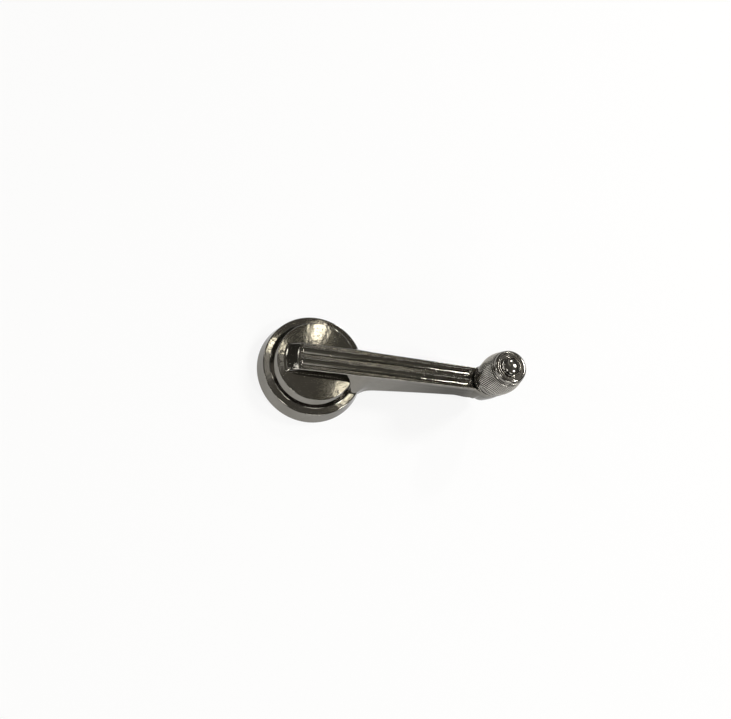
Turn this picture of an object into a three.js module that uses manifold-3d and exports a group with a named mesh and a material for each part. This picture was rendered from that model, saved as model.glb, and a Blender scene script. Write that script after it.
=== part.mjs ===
import * as THREE from "three";
import { mergeVertices } from "three/addons/utils/BufferGeometryUtils.js";
import Module from "manifold-3d";

// A car window winder handle: a plated die casting (round stepped hub, fluted arm, tip boss)
// that drives the window regulator's splined spindle, and a knurled knob that spins on a pin.
// Millimetres. +Z points away from the door, +X along the arm. Heights below are above the
// hub's back face; the finished group is lowered so that the origin is the socket's floor.

// Hub, from the back face up
const HUB_RADIUS = 28.5;
const TIER_RADIUS = 26.9;
const TIER_HEIGHT = 9.1;
const TIER_EDGE = 0.7;
const CROWN_FOOT_RADIUS = 23.6;
const CROWN_FOOT_FILLET = 0.6;
const CROWN_HEIGHT = 16.4;
const CROWN_DRAFT_DEGREES = 18;
const CROWN_EDGE = 0.4;

// Back of the hub: pockets, ribs and the boss that holds the spindle
const POCKET_OUTER_RADIUS = 23.2;
const POCKET_STEP_RADIUS = 17.5;
const POCKET_ROOF = 7.2;
const POCKET_STEP_ROOF = 4.2;
const RIB_COUNT = 6;
const RIB_THICKNESS = 2.2;
const RIB_SETBACK = 4.6;
const SOCKET_BOSS_RADIUS = 10.2;
const SOCKET_BOSS_SETBACK = 1.0;
const SOCKET_DEPTH = 13.0;
const SOCKET_SHOULDER = 0.6;
const SLEEVE_OUTER_RADIUS = 7.6;
const SLEEVE_LENGTH = 6.8;
const SPLINE_ROOT_RADIUS = 6.1;
const SPLINE_TIP_RADIUS = 5.6;
const SPLINE_COUNT = 30;
const SPLINE_TO_FLOOR = 0.3;

// Spring clip across the socket boss
const CLIP_WIRE_RADIUS = 0.7;
const CLIP_LEG_SPACING = 10.8;
const CLIP_HEIGHT = 3.4;
const CLIP_LEG_TIP = 11.5;
const CLIP_BOW_START = 9.5;
const CLIP_SLOT_CLEARANCE = 0.25;

// Arm
const KNOB_CENTRE_X = 93.3;
const NOSE_X = -16.6;
const NOSE_ROUND = 23.0;
const NOSE_SLOPE = 1.12;
const ARM_TOP_START = 21.3;
const ARM_TOP_BELOW_SEAT = 2.3;
const ARM_TOP_BOW = 0.45;
const ARM_HALF_WIDTH_START = 7.35;
const ARM_HALF_WIDTH_END = 5.95;
const ARM_EDGE = 0.55;
const ARM_SIDE_DRAFT = 0.06;
const UNDERSIDE_X = 25.0;
const UNDERSIDE_START = 1.5;
const UNDERSIDE_END = 13.6;
const UNDERSIDE_POWER = 1.35;
const ROOT_FLARE = 6.0;
const ROOT_FLARE_X = 21.0;
const ROOT_FLARE_REACH = 6.0;
const ROOT_FLARE_DEPTH = 16.0;
const ROOT_FLARE_POWER = 0.95;
const ROOT_FLARE_FULL_DEPTH = 13.5;
const TIP_FILLET = 3.0;
const TIP_FADE = 5.0;
const TIP_DIP = 2.2;
const TIP_DIP_REACH = 9.0;

// Two flutes with a ridge between them, sunk in the arm's top
const FLUTE_START_X = -9.4;
const FLUTE_END_X = 82.6;
const RIDGE_HALF_WIDTH = 1.0;
const FLUTE_WIDTH = 3.9;
const FLUTE_DEPTH = 1.25;
const FLUTE_EDGE_DEPTH = 0.4;

// Channel under the arm
const CHANNEL_START_X = 31.0;
const CHANNEL_END_X = 80.0;
const CHANNEL_WALL = 2.0;
const CHANNEL_ROOF = 3.3;

// Boss at the arm's tip
const BOSS_FOOT_RADIUS = 7.4;
const BOSS_FOOT_HEIGHT = 10.8;
const BOSS_FOOT_ROUND = 0.7;
const BOSS_RADIUS = 9.3;
const BOSS_EDGE = 0.4;
const BOSS_SEAT_RADIUS = 8.1;
const BOSS_SEAT_HEIGHT = 27.4;
const BOSS_SEAT_STEP = 1.2;
const BOSS_SEAT_EDGE = 0.3;
const BOSS_GROOVE_RADIUS = 8.6;
const BOSS_GROOVE_DEPTH = 0.5;
const BOSS_THICKNESS = 6.4;
const COUNTERBORE_RADIUS = 6.0;

// Pivot pin: domed head on top, running shank, tail riveted over in the boss's counterbore
const TAIL_RADIUS = 2.6;
const SHANK_RADIUS = 3.4;
const HEAD_RADIUS = 4.2;
const HEAD_DOME_HEIGHT = 1.5;
const HEAD_EDGE = 0.8;
const RIVET_RADIUS = 4.0;
const RIVET_HEIGHT = 1.3;
const PRESS_GAP = 0.05;
const RUNNING_GAP = 0.06;
const SEAT_GAP = 0.1;

// Washers
const TAIL_WASHER_RADIUS = 5.4;
const TAIL_WASHER_THICKNESS = 0.8;
const THRUST_WASHER_RADIUS = 7.2;
const THRUST_WASHER_THICKNESS = 0.6;
const WAVE_WASHER_RADIUS = 6.6;
const WAVE_WASHER_THICKNESS = 0.3;
const WAVE_HEIGHT = 0.45;
const WAVE_COUNT = 3;
const HEAD_WASHER_THICKNESS = 0.4;

// Knob
const KNOB_FOOT_GAP = 0.7;
const BASE_RING_FOOT_RADIUS = 9.9;
const BASE_RING_BORE = 7.7;
const BASE_RING_HEIGHT = 3.0;
const BASE_RING_EDGE = 0.35;
const BASE_RING_RADIUS = 10.15;
const BARREL_FOOT_RADIUS = 10.25;
const BARREL_TOP_RADIUS = 9.15;
const BARREL_BULGE = 1.05;
const BARREL_HEIGHT = 15.2;
const BARREL_WALL = 1.1;
const CORE_SHRINK = 0.1;
const KNURL_COUNT = 72;
const KNURL_DEPTH = 0.32;
const KNURL_MARGIN = 0.5;
const BEAD_HEIGHT = 1.0;
const BEAD_RADIUS = 9.2;
const BUSH_WALL = 1.2;
const BUSH_FLANGE_RADIUS = 7.0;
const BUSH_FLANGE_THICKNESS = 1.0;
const CAP_RADIUS = 8.8;
const CAP_WALL_HEIGHT = 0.8;
const CAP_EDGE_RADIUS = 1.5;
const CAP_SPIGOT = 2.0;
const CAP_SPIGOT_GAP = 0.15;
const CAP_RIM_INNER_RADIUS = 7.0;
const CAP_STEP = 0.45;
const CAP_FLAT_INNER_RADIUS = 6.0;
const CAP_GROOVE_DEPTH = 0.5;
const CAP_LIP_OUTER_RADIUS = 5.25;
const CAP_LIP_RADIUS = 4.65;
const CAP_LIP_HEIGHT = 1.2;
const HEAD_RECESS_DEPTH = 1.7;

// Smoothness of the round and the long shapes
const HUB_SEGMENTS = 64;
const ROUND_SEGMENTS = 36;
const ROOT_STATIONS = 9;
const SPAN_STATIONS = 6;
const TIP_STATIONS = 4;
const WALL_LEVELS = 4;
const FLUTE_STEPS = 6;
const ARC_STEPS = 4;

const wasm = await Module();
wasm.setup();

// Finishes
const chrome = new THREE.MeshStandardMaterial({ color: 0xc9c6c0, roughness: 0.08, metalness: 1 });
const steel = new THREE.MeshStandardMaterial({ color: 0x8f9194, roughness: 0.35, metalness: 1 });
const springSteel = new THREE.MeshStandardMaterial({ color: 0x4a4d52, roughness: 0.4, metalness: 1 });
const brass = new THREE.MeshStandardMaterial({ color: 0xb08d4a, roughness: 0.35, metalness: 1 });
const moulding = new THREE.MeshStandardMaterial({ color: 0x2a2826, roughness: 0.6, metalness: 0 });

// A closed three.js geometry as a solid for joining and cutting.
function solid(geometry) {
  const bare = geometry.index ? geometry.toNonIndexed() : geometry.clone();
  bare.deleteAttribute("normal");
  bare.deleteAttribute("uv");
  const merged = mergeVertices(bare, 1e-4);
  const index = merged.index.array;
  const kept = [];
  for (let i = 0; i < index.length; i += 3) {
    const [a, b, c] = [index[i], index[i + 1], index[i + 2]];
    if (a !== b && b !== c && c !== a) kept.push(a, b, c);
  }
  return new wasm.Manifold(
    new wasm.Mesh({
      numProp: 3,
      vertProperties: merged.attributes.position.array,
      triVerts: new Uint32Array(kept),
    }),
  );
}

// A solid as one named mesh of the assembly.
function piece(name, shape, material) {
  const made = shape.getMesh();
  const geometry = new THREE.BufferGeometry();
  geometry.setAttribute("position", new THREE.BufferAttribute(made.vertProperties, 3));
  geometry.setIndex(new THREE.BufferAttribute(made.triVerts, 1));
  geometry.computeVertexNormals();
  const mesh = new THREE.Mesh(geometry, material);
  mesh.name = name;
  return mesh;
}

// Points of a circular arc in a profile, angles in degrees from the outward direction.
function arc(centreR, centreZ, radius, from, to, steps = ARC_STEPS) {
  return Array.from({ length: steps + 1 }, (_, i) => {
    const angle = THREE.MathUtils.degToRad(from + ((to - from) * i) / steps);
    return [centreR + radius * Math.cos(angle), centreZ + radius * Math.sin(angle)];
  });
}

// A turned solid about Z at (x, 0), from a profile of [radius, height] that runs up its outside.
function turned(profile, x = 0, segments = ROUND_SEGMENTS) {
  const points = profile.map(([r, z]) => new THREE.Vector2(Math.max(r, 0), z));
  return solid(new THREE.LatheGeometry(points, segments).rotateX(Math.PI / 2).translate(x, 0, 0));
}

// A turned ring with a rectangular section.
function ring(inner, outer, low, high, x = 0) {
  const profile = [[inner, low], [outer, low], [outer, high], [inner, high], [inner, low]];
  return turned(profile, x);
}

function box(lowX, highX, lowY, highY, lowZ, highZ) {
  const geometry = new THREE.BoxGeometry(highX - lowX, highY - lowY, highZ - lowZ);
  return solid(geometry.translate((lowX + highX) / 2, (lowY + highY) / 2, (lowZ + highZ) / 2));
}

// A skin through closed sections [[y, z], ...] at rising x, all with as many points and
// listed anticlockwise seen from +X, closed by flat ends.
function loft(stations) {
  const count = stations[0].section.length;
  const positions = [];
  const point = (s, i) => {
    const [y, z] = stations[s].section[i % count];
    return [stations[s].x, y, z];
  };
  for (let s = 0; s + 1 < stations.length; s++) {
    for (let i = 0; i < count; i++) {
      positions.push(...point(s, i), ...point(s, i + 1), ...point(s + 1, i));
      positions.push(...point(s, i + 1), ...point(s + 1, i + 1), ...point(s + 1, i));
    }
  }
  for (const s of [0, stations.length - 1]) {
    const outline = stations[s].section.map(([y, z]) => new THREE.Vector2(y, z));
    for (const [a, b, c] of THREE.ShapeUtils.triangulateShape(outline, [])) {
      const order = s === 0 ? [a, c, b] : [a, b, c];
      order.forEach((i) => positions.push(...point(s, i)));
    }
  }
  const geometry = new THREE.BufferGeometry();
  geometry.setAttribute("position", new THREE.Float32BufferAttribute(positions, 3));
  return solid(geometry);
}

const spaced = (from, to, count) =>
  Array.from({ length: count + 1 }, (_, i) => from + ((to - from) * i) / count);

const stationsAt = (places, section) => places.map((x) => ({ x, section: section(x) }));

// Heights of the tip boss that follow from its seat
const shoulderHeight = BOSS_SEAT_HEIGHT - BOSS_SEAT_STEP;
const counterboreRoof = BOSS_SEAT_HEIGHT - BOSS_THICKNESS;
const armTopEnd = BOSS_SEAT_HEIGHT - ARM_TOP_BELOW_SEAT;

const smoothStep = (value) => THREE.MathUtils.smoothstep(value, 0, 1);

// The larger of two lengths, rounded over where they are within a given reach of each other
function smoothMax(a, b, reach) {
  const near = Math.max(reach - Math.abs(a - b), 0) / reach;
  return Math.max(a, b) + (near * near * reach) / 4;
}

// Arm: height of its top, of its underside, and half its width, along X
const armShare = (x) => (x - NOSE_X) / (KNOB_CENTRE_X - NOSE_X);

function armTop(x) {
  const rise = (armTopEnd - ARM_TOP_START) * armShare(x);
  return ARM_TOP_START + rise + ARM_TOP_BOW * Math.sin(Math.PI * armShare(x));
}

function armUnderside(x) {
  const share = THREE.MathUtils.clamp((x - UNDERSIDE_X) / (KNOB_CENTRE_X - UNDERSIDE_X), 0, 1);
  const rise = 1 - (1 - share) ** UNDERSIDE_POWER;
  const dip = TIP_DIP * smoothStep((x - (KNOB_CENTRE_X - BOSS_RADIUS)) / TIP_DIP_REACH + 0.5);
  return UNDERSIDE_START + (UNDERSIDE_END - UNDERSIDE_START) * rise - dip;
}

// Where the arm's sections lie: close together in the flares at the hub and at the boss
const armPlaces = (() => {
  const rootStart = ROOT_FLARE_X - 1.5 * ROOT_FLARE_REACH;
  const rootEnd = ROOT_FLARE_X + 2 * ROOT_FLARE_REACH;
  const tipStart = KNOB_CENTRE_X - BOSS_RADIUS - TIP_FILLET / 2;
  return [
    NOSE_X - 2,
    ...spaced(rootStart, rootEnd, ROOT_STATIONS),
    ...spaced(rootEnd, tipStart, SPAN_STATIONS).slice(1),
    ...spaced(tipStart, KNOB_CENTRE_X, TIP_STATIONS).slice(1),
  ];
})();

const armHalfWidth = (x) =>
  THREE.MathUtils.lerp(ARM_HALF_WIDTH_START, ARM_HALF_WIDTH_END, armShare(x));

// Radius of the tip boss at a height
function bossRadius(z) {
  const share = THREE.MathUtils.clamp((z - BOSS_FOOT_HEIGHT) / (shoulderHeight - BOSS_FOOT_HEIGHT), 0, 1);
  return THREE.MathUtils.lerp(BOSS_FOOT_RADIUS, BOSS_RADIUS, Math.sin((share * Math.PI) / 2));
}

// Half width of the arm's wall at a height: draft, the flare into the hub, the fillet into the boss
function wallHalfWidth(x, z) {
  const depth = armTop(x) - z;
  const bell = Math.exp(-(((x - ROOT_FLARE_X) / ROOT_FLARE_REACH) ** 2));
  const share = Math.min(depth, ROOT_FLARE_FULL_DEPTH) / ROOT_FLARE_DEPTH;
  const root = ROOT_FLARE * bell * share ** ROOT_FLARE_POWER;
  const wall = armHalfWidth(x) + ARM_SIDE_DRAFT * depth + root;
  const faded = wall * (1 - smoothStep((x - KNOB_CENTRE_X) / TIP_FADE + 1));
  const boss = Math.sqrt(Math.max(bossRadius(z) ** 2 - (KNOB_CENTRE_X - x) ** 2, 0));
  return smoothMax(faded, boss, TIP_FILLET);
}

function armSection(x) {
  const top = armTop(x);
  const bottom = armUnderside(x);
  const side = [];
  for (let i = 0; i <= WALL_LEVELS; i++) {
    const z = THREE.MathUtils.lerp(bottom, top - ARM_EDGE, i / WALL_LEVELS);
    side.push([wallHalfWidth(x, z), z]);
  }
  const edge = arc(wallHalfWidth(x, top - ARM_EDGE) - ARM_EDGE, top - ARM_EDGE, ARM_EDGE, 0, 90, 3);
  const right = [...side, ...edge.slice(1)];
  const left = right.map(([y, z]) => [-y, z]).reverse();
  return [...right, ...left];
}

// Round-bottomed cutter that follows the arm's top between y = near and y = far
function fluteCutter(near, far) {
  const half = (far - near) / 2;
  const middle = (far + near) / 2;
  const section = (x) => {
    const points = [];
    for (let i = 0; i <= FLUTE_STEPS; i++) {
      const t = -1 + (2 * i) / FLUTE_STEPS;
      const depth = FLUTE_EDGE_DEPTH + (FLUTE_DEPTH - FLUTE_EDGE_DEPTH) * (1 - t ** 2);
      points.push([middle + half * t, armTop(x) - depth]);
    }
    return [...points, [far, armTop(x) + 2], [near, armTop(x) + 2]];
  };
  const between = armPlaces.filter((x) => x > FLUTE_START_X && x < FLUTE_END_X);
  return loft(stationsAt([FLUTE_START_X, ...between, FLUTE_END_X], section));
}

function arm() {
  const bar = loft(stationsAt(armPlaces, armSection));
  const noseTop = BOSS_SEAT_HEIGHT + 2;
  const noseBase = NOSE_ROUND + NOSE_SLOPE * CROWN_HEIGHT;
  const noseCentre = NOSE_X + NOSE_ROUND;
  const nose = turned(
    [[0, 0], [noseBase, 0], [noseBase - NOSE_SLOPE * noseTop, noseTop], [0, noseTop]],
    noseCentre,
    HUB_SEGMENTS,
  );
  const rest = box(noseCentre, KNOB_CENTRE_X + 1, -HUB_RADIUS, HUB_RADIUS, 0, noseTop);
  return bar
    .intersect(nose.add(rest))
    .subtract(fluteCutter(RIDGE_HALF_WIDTH, RIDGE_HALF_WIDTH + FLUTE_WIDTH))
    .subtract(fluteCutter(-RIDGE_HALF_WIDTH - FLUTE_WIDTH, -RIDGE_HALF_WIDTH));
}

function hub() {
  const draft = CROWN_DRAFT_DEGREES;
  const foot = arc(
    CROWN_FOOT_RADIUS, TIER_HEIGHT + CROWN_FOOT_FILLET, CROWN_FOOT_FILLET, 270, 180 + draft, 2);
  const [footRadius, footHeight] = foot.at(-1);
  const slope = THREE.MathUtils.degToRad(draft);
  const edgeHeight = CROWN_HEIGHT - CROWN_EDGE;
  const wallTop = edgeHeight + CROWN_EDGE * Math.sin(slope);
  const wallTopRadius = footRadius - (wallTop - footHeight) * Math.tan(slope);
  return turned(
    [
      [0, 0],
      [HUB_RADIUS, 0],
      ...arc(TIER_RADIUS - TIER_EDGE, TIER_HEIGHT - TIER_EDGE, TIER_EDGE, 0, 90, 3),
      ...foot,
      ...arc(wallTopRadius - CROWN_EDGE * Math.cos(slope), edgeHeight, CROWN_EDGE, draft, 90, 2),
      [0, CROWN_HEIGHT],
    ],
    0,
    HUB_SEGMENTS,
  );
}

function tipBoss() {
  const low = BOSS_FOOT_HEIGHT + BOSS_FOOT_ROUND;
  const high = shoulderHeight - BOSS_EDGE;
  const grooveFloor = shoulderHeight - BOSS_GROOVE_DEPTH;
  return turned(
    [
      [0, BOSS_FOOT_HEIGHT],
      [bossRadius(low) - BOSS_FOOT_ROUND, BOSS_FOOT_HEIGHT],
      ...spaced(low, high, 4).map((z) => [bossRadius(z), z]),
      [BOSS_RADIUS - BOSS_EDGE, shoulderHeight],
      [BOSS_GROOVE_RADIUS, shoulderHeight],
      [BOSS_GROOVE_RADIUS, grooveFloor],
      [BOSS_SEAT_RADIUS, grooveFloor],
      [BOSS_SEAT_RADIUS, BOSS_SEAT_HEIGHT - BOSS_SEAT_EDGE],
      [BOSS_SEAT_RADIUS - BOSS_SEAT_EDGE, BOSS_SEAT_HEIGHT],
      [0, BOSS_SEAT_HEIGHT],
    ],
    KNOB_CENTRE_X,
  );
}

// Hollow back of the hub: one stepped ring of pockets, with the ribs left standing
function hubPockets() {
  const space = turned([
    [SOCKET_BOSS_RADIUS, -1],
    [POCKET_OUTER_RADIUS, -1],
    [POCKET_OUTER_RADIUS, POCKET_STEP_ROOF],
    [POCKET_STEP_RADIUS, POCKET_STEP_ROOF],
    [POCKET_STEP_RADIUS, POCKET_ROOF],
    [SOCKET_BOSS_RADIUS, POCKET_ROOF],
    [SOCKET_BOSS_RADIUS, -1],
  ]);
  let cut = space;
  for (let i = 0; i < RIB_COUNT; i++) {
    const half = RIB_THICKNESS / 2;
    const rib = box(0, POCKET_OUTER_RADIUS + 1, -half, half, RIB_SETBACK, POCKET_ROOF + 1);
    cut = cut.subtract(rib.rotate([0, 0, (360 * (i + 0.5)) / RIB_COUNT]));
  }
  return cut;
}

// Blind socket: a bore for the sleeve, a shoulder that the sleeve is pressed up to, the flat floor
// inside it, and two slots across the boss for the clip's legs
function socketCut() {
  const radius = SLEEVE_OUTER_RADIUS + PRESS_GAP;
  const shoulder = SOCKET_DEPTH - SOCKET_SHOULDER;
  const floorRadius = SPLINE_TIP_RADIUS - SPLINE_TO_FLOOR;
  const bore = turned([[0, -1], [radius, -1], [radius, shoulder],
    [floorRadius, shoulder], [floorRadius, SOCKET_DEPTH], [0, SOCKET_DEPTH]]);
  const setback = turned([[0, -1], [SOCKET_BOSS_RADIUS + 1, -1],
    [SOCKET_BOSS_RADIUS + 1, SOCKET_BOSS_SETBACK], [0, SOCKET_BOSS_SETBACK]]);
  const half = CLIP_WIRE_RADIUS + CLIP_SLOT_CLEARANCE;
  const slots = [-1, 1].map((side) => {
    const y = (side * CLIP_LEG_SPACING) / 2;
    return box(-SOCKET_BOSS_RADIUS - 1, SOCKET_BOSS_RADIUS + 1, y - half, y + half,
      CLIP_HEIGHT - half, CLIP_HEIGHT + half);
  });
  return bore.add(setback).add(slots[0]).add(slots[1]);
}

// Channel cored out under the arm, with the arm's own taper
function armChannel() {
  const section = (x) => {
    const half = armHalfWidth(x) - CHANNEL_WALL;
    const roof = armTop(x) - CHANNEL_ROOF;
    return [[half + 0.4, -1], [half, roof - 0.6], [half - 0.6, roof],
      [-half + 0.6, roof], [-half, roof - 0.6], [-half - 0.4, -1]];
  };
  return loft(stationsAt(spaced(CHANNEL_START_X, CHANNEL_END_X, SPAN_STATIONS), section));
}

function handleCasting() {
  const pinHole = turned([
    [0, 0],
    [COUNTERBORE_RADIUS, 0],
    [COUNTERBORE_RADIUS, counterboreRoof],
    [TAIL_RADIUS + PRESS_GAP, counterboreRoof],
    [TAIL_RADIUS + PRESS_GAP, BOSS_SEAT_HEIGHT + 1],
    [0, BOSS_SEAT_HEIGHT + 1],
  ], KNOB_CENTRE_X);
  return hub()
    .add(arm())
    .add(tipBoss())
    .subtract(hubPockets())
    .subtract(socketCut())
    .subtract(armChannel())
    .subtract(pinHole);
}

// Steel sleeve with internal serrations that grip the spindle
function splineSleeve() {
  const outline = new THREE.Shape().absarc(0, 0, SLEEVE_OUTER_RADIUS, 0, 2 * Math.PI);
  const teeth = [];
  for (let i = 0; i < SPLINE_COUNT; i++) {
    [SPLINE_ROOT_RADIUS, SPLINE_TIP_RADIUS].forEach((radius, k) => {
      const angle = (2 * Math.PI * (i + k / 2)) / SPLINE_COUNT;
      teeth.push(new THREE.Vector2(radius * Math.cos(angle), radius * Math.sin(angle)));
    });
  }
  outline.holes.push(new THREE.Path(teeth));
  const geometry = new THREE.ExtrudeGeometry(outline, {
    depth: SLEEVE_LENGTH,
    bevelEnabled: false,
    curveSegments: ROUND_SEGMENTS,
  });
  const top = SOCKET_DEPTH - SOCKET_SHOULDER - SEAT_GAP;
  return solid(geometry.translate(0, 0, top - SLEEVE_LENGTH));
}

// Horseshoe spring clip: two legs through the boss's slots and a bow round behind it
function retainingClip() {
  const half = CLIP_LEG_SPACING / 2;
  const path = new THREE.CurvePath();
  const at = (x, y) => new THREE.Vector3(x, y, CLIP_HEIGHT);
  const bow = new THREE.CatmullRomCurve3([
    at(CLIP_LEG_TIP, -half), at(0, -half), at(-CLIP_BOW_START, -half),
    at(-CLIP_BOW_START - half * 0.75, -half * 0.7), at(-CLIP_BOW_START - half, 0),
    at(-CLIP_BOW_START - half * 0.75, half * 0.7), at(-CLIP_BOW_START, half),
    at(0, half), at(CLIP_LEG_TIP, half),
  ], false, "centripetal");
  path.add(bow);
  const wire = new THREE.Shape().absarc(0, 0, CLIP_WIRE_RADIUS, 0, 2 * Math.PI);
  return solid(new THREE.ExtrudeGeometry(wire, { extrudePath: path, steps: 32, curveSegments: 5 }));
}

// Heights of the knob's stack, each worked out from the piece below it
const thrustTop = BOSS_SEAT_HEIGHT + SEAT_GAP + THRUST_WASHER_THICKNESS;
const waveTop = thrustTop + SEAT_GAP + WAVE_WASHER_THICKNESS + WAVE_HEIGHT;
const bushFoot = waveTop + SEAT_GAP;
const coreFoot = bushFoot + BUSH_FLANGE_THICKNESS + SEAT_GAP;
const knobFoot = BOSS_SEAT_HEIGHT + KNOB_FOOT_GAP;
const sleeveFoot = knobFoot + BASE_RING_HEIGHT + SEAT_GAP;
const sleeveTop = sleeveFoot + BARREL_HEIGHT;
const beadFoot = sleeveTop + SEAT_GAP;
const capFoot = beadFoot + BEAD_HEIGHT + SEAT_GAP;
const capFace = capFoot + CAP_WALL_HEIGHT + CAP_EDGE_RADIUS;
const coreTop = capFoot - CAP_SPIGOT - SEAT_GAP;
const spigotBore = BARREL_TOP_RADIUS - BARREL_WALL;
const bushRadius = SHANK_RADIUS + RUNNING_GAP + BUSH_WALL;
const flatFace = capFace - CAP_STEP;
const lipTop = flatFace - CAP_GROOVE_DEPTH + CAP_LIP_HEIGHT;
const recessFloor = lipTop - HEAD_RECESS_DEPTH;
const headFoot = recessFloor + HEAD_WASHER_THICKNESS + 2 * SEAT_GAP;

function pivotPin() {
  const tailFoot = counterboreRoof - TAIL_WASHER_THICKNESS - 2 * SEAT_GAP;
  const shoulder = BOSS_SEAT_HEIGHT + SEAT_GAP;
  const dome = [1, 0.9, 0.75, 0.55, 0.3, 0].map((share) => [
    HEAD_RADIUS * share,
    headFoot + HEAD_EDGE + HEAD_DOME_HEIGHT * Math.sqrt(1 - share ** 2),
  ]);
  return turned([
    [0, tailFoot - RIVET_HEIGHT],
    [RIVET_RADIUS * 0.6, tailFoot - RIVET_HEIGHT],
    [RIVET_RADIUS * 0.9, tailFoot - RIVET_HEIGHT * 0.6],
    [RIVET_RADIUS, tailFoot],
    [TAIL_RADIUS, tailFoot],
    [TAIL_RADIUS, shoulder],
    [SHANK_RADIUS, shoulder],
    [SHANK_RADIUS, headFoot],
    [HEAD_RADIUS, headFoot],
    ...dome,
  ], KNOB_CENTRE_X);
}

const tailWasher = () =>
  ring(TAIL_RADIUS + PRESS_GAP, TAIL_WASHER_RADIUS,
    counterboreRoof - SEAT_GAP - TAIL_WASHER_THICKNESS, counterboreRoof - SEAT_GAP, KNOB_CENTRE_X);

const thrustWasher = () =>
  ring(SHANK_RADIUS + RUNNING_GAP, THRUST_WASHER_RADIUS,
    BOSS_SEAT_HEIGHT + SEAT_GAP, thrustTop, KNOB_CENTRE_X);

const headWasher = () =>
  ring(SHANK_RADIUS + RUNNING_GAP, HEAD_RADIUS - PRESS_GAP,
    recessFloor + SEAT_GAP, recessFloor + SEAT_GAP + HEAD_WASHER_THICKNESS, KNOB_CENTRE_X);

// Wave washer: a thin ring whose height swings up and down round its circumference
function waveWasher() {
  const inner = SHANK_RADIUS + 0.4;
  const low = thrustTop + SEAT_GAP;
  const geometry = new THREE.LatheGeometry(
    [[inner, 0], [WAVE_WASHER_RADIUS, 0], [WAVE_WASHER_RADIUS, WAVE_WASHER_THICKNESS],
      [inner, WAVE_WASHER_THICKNESS], [inner, 0]].map(([r, z]) => new THREE.Vector2(r, z)),
    ROUND_SEGMENTS,
  ).rotateX(Math.PI / 2);
  const place = geometry.attributes.position;
  for (let i = 0; i < place.count; i++) {
    const angle = Math.atan2(place.getY(i), place.getX(i));
    const wave = (WAVE_HEIGHT / 2) * (1 + Math.cos(WAVE_COUNT * angle));
    place.setZ(i, low + place.getZ(i) + wave);
  }
  return solid(geometry.translate(KNOB_CENTRE_X, 0, 0));
}

function knobBush() {
  const bore = SHANK_RADIUS + RUNNING_GAP;
  return turned([
    [bore, bushFoot],
    [BUSH_FLANGE_RADIUS, bushFoot],
    [BUSH_FLANGE_RADIUS, bushFoot + BUSH_FLANGE_THICKNESS],
    [bushRadius, bushFoot + BUSH_FLANGE_THICKNESS],
    [bushRadius, coreTop],
    [bore, coreTop],
    [bore, bushFoot],
  ], KNOB_CENTRE_X);
}

// Outer radius of the barrel above its foot: tapered and bulged
function barrelRadius(height) {
  const share = height / BARREL_HEIGHT;
  const taper = THREE.MathUtils.lerp(BARREL_FOOT_RADIUS, BARREL_TOP_RADIUS, share);
  return taper + BARREL_BULGE * Math.sin(Math.PI * share);
}

// Core moulded inside the barrel, round the bush
function knobCore() {
  const inner = bushRadius + PRESS_GAP;
  const low = sleeveFoot + SEAT_GAP;
  const skin = spaced(low, coreTop, 4).map((z) =>
    [barrelRadius(z - sleeveFoot) - BARREL_WALL - PRESS_GAP - CORE_SHRINK, z]);
  return turned([[inner, low], ...skin, [inner, coreTop], [inner, low]], KNOB_CENTRE_X)
    .subtract(ring(0, BUSH_FLANGE_RADIUS + PRESS_GAP, sleeveFoot - 1, coreFoot, KNOB_CENTRE_X));
}

const baseRing = () =>
  turned([
    [BASE_RING_BORE, knobFoot],
    [BASE_RING_FOOT_RADIUS - BASE_RING_EDGE, knobFoot],
    [BASE_RING_FOOT_RADIUS, knobFoot + BASE_RING_EDGE],
    [BASE_RING_RADIUS, knobFoot + BASE_RING_HEIGHT],
    [BASE_RING_BORE, knobFoot + BASE_RING_HEIGHT],
    [BASE_RING_BORE, knobFoot],
  ], KNOB_CENTRE_X);

// Knurled barrel: a drawn tube with straight V-shaped flutes rolled into it, plain at both ends
function knurledBarrel() {
  const runOut = KNURL_MARGIN + KNURL_DEPTH;
  const heights = [0, KNURL_MARGIN, ...spaced(runOut, BARREL_HEIGHT - runOut, 3),
    BARREL_HEIGHT - KNURL_MARGIN, BARREL_HEIGHT];
  const around = KNURL_COUNT * 2;
  const row = (height, radiusAt) => Array.from({ length: around }, (_, i) => {
    const angle = (2 * Math.PI * i) / around;
    return [radiusAt(i) * Math.cos(angle), radiusAt(i) * Math.sin(angle), sleeveFoot + height];
  });
  const outside = heights.map((height) => {
    const plain = height <= KNURL_MARGIN || height >= BARREL_HEIGHT - KNURL_MARGIN;
    const depth = (i) => (plain ? KNURL_DEPTH / 2 : (i % 2) * KNURL_DEPTH);
    return row(height, (i) => barrelRadius(height) - depth(i));
  });
  const bore = spaced(BARREL_HEIGHT, 0, 4).map((height) =>
    row(height, () => barrelRadius(height) - BARREL_WALL));
  const skin = [...outside, ...bore, outside[0]];
  const positions = [];
  for (let r = 0; r + 1 < skin.length; r++) {
    for (let i = 0; i < around; i++) {
      const next = (i + 1) % around;
      positions.push(...skin[r][i], ...skin[r][next], ...skin[r + 1][i]);
      positions.push(...skin[r][next], ...skin[r + 1][next], ...skin[r + 1][i]);
    }
  }
  const geometry = new THREE.BufferGeometry();
  geometry.setAttribute("position", new THREE.Float32BufferAttribute(positions, 3));
  return solid(geometry.translate(KNOB_CENTRE_X, 0, 0));
}

const beadRing = () =>
  turned([
    [spigotBore + PRESS_GAP, beadFoot],
    ...arc(BEAD_RADIUS - BEAD_HEIGHT / 2, beadFoot + BEAD_HEIGHT / 2, BEAD_HEIGHT / 2, -90, 90),
    [spigotBore + PRESS_GAP, beadFoot + BEAD_HEIGHT],
    [spigotBore + PRESS_GAP, beadFoot],
  ], KNOB_CENTRE_X);

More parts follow.
